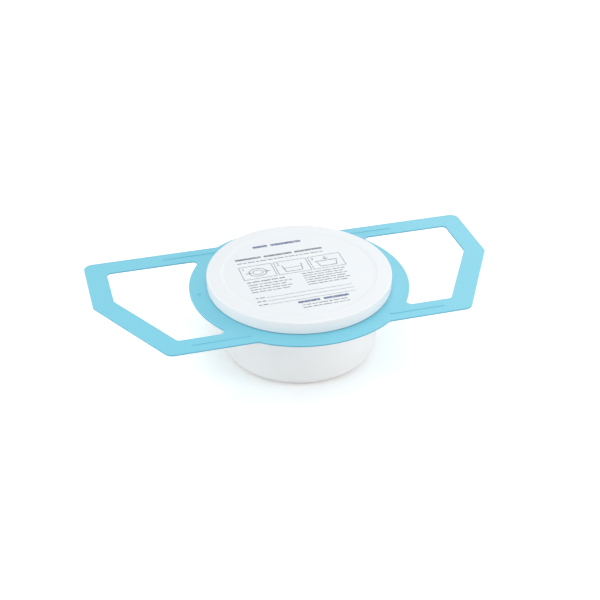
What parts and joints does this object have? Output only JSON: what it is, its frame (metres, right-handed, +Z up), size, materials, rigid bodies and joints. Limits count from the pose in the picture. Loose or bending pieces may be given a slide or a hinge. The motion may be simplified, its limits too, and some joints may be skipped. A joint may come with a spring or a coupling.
{
  "type": "commode specimen collector",
  "caption": "Disposable commode specimen collector: a flat frame spans the toilet bowl and holds a round tub with a lid that snaps on.",
  "frame": {"origin": "centre of the tub's base, on the plane that the tub stands on", "axes": "+X along the frame's long side, +Y to the back, where the frame's corners are square, +Z up out of the tub"},
  "size_m": [0.366, 0.1968, 0.0767],
  "materials": {
    "frame_plastic": "satin",
    "tub_plastic": "satin",
    "lid_plastic": "satin"
  },
  "bodies": {
    "frame": {"support_frame": "frame_plastic"},
    "tub": {"container": "tub_plastic"},
    "cover": {"lid": "lid_plastic"}
  },
  "joints": [
    {"name": "container_lift", "type": "slide", "parent": "frame", "child": "tub", "axis": [0, 0, 1], "range_m": [0, 0.08]},
    {"name": "lid_lift", "type": "slide", "parent": "tub", "child": "cover", "axis": [0, 0, 1], "range_m": [0, 0.05]}
  ]
}
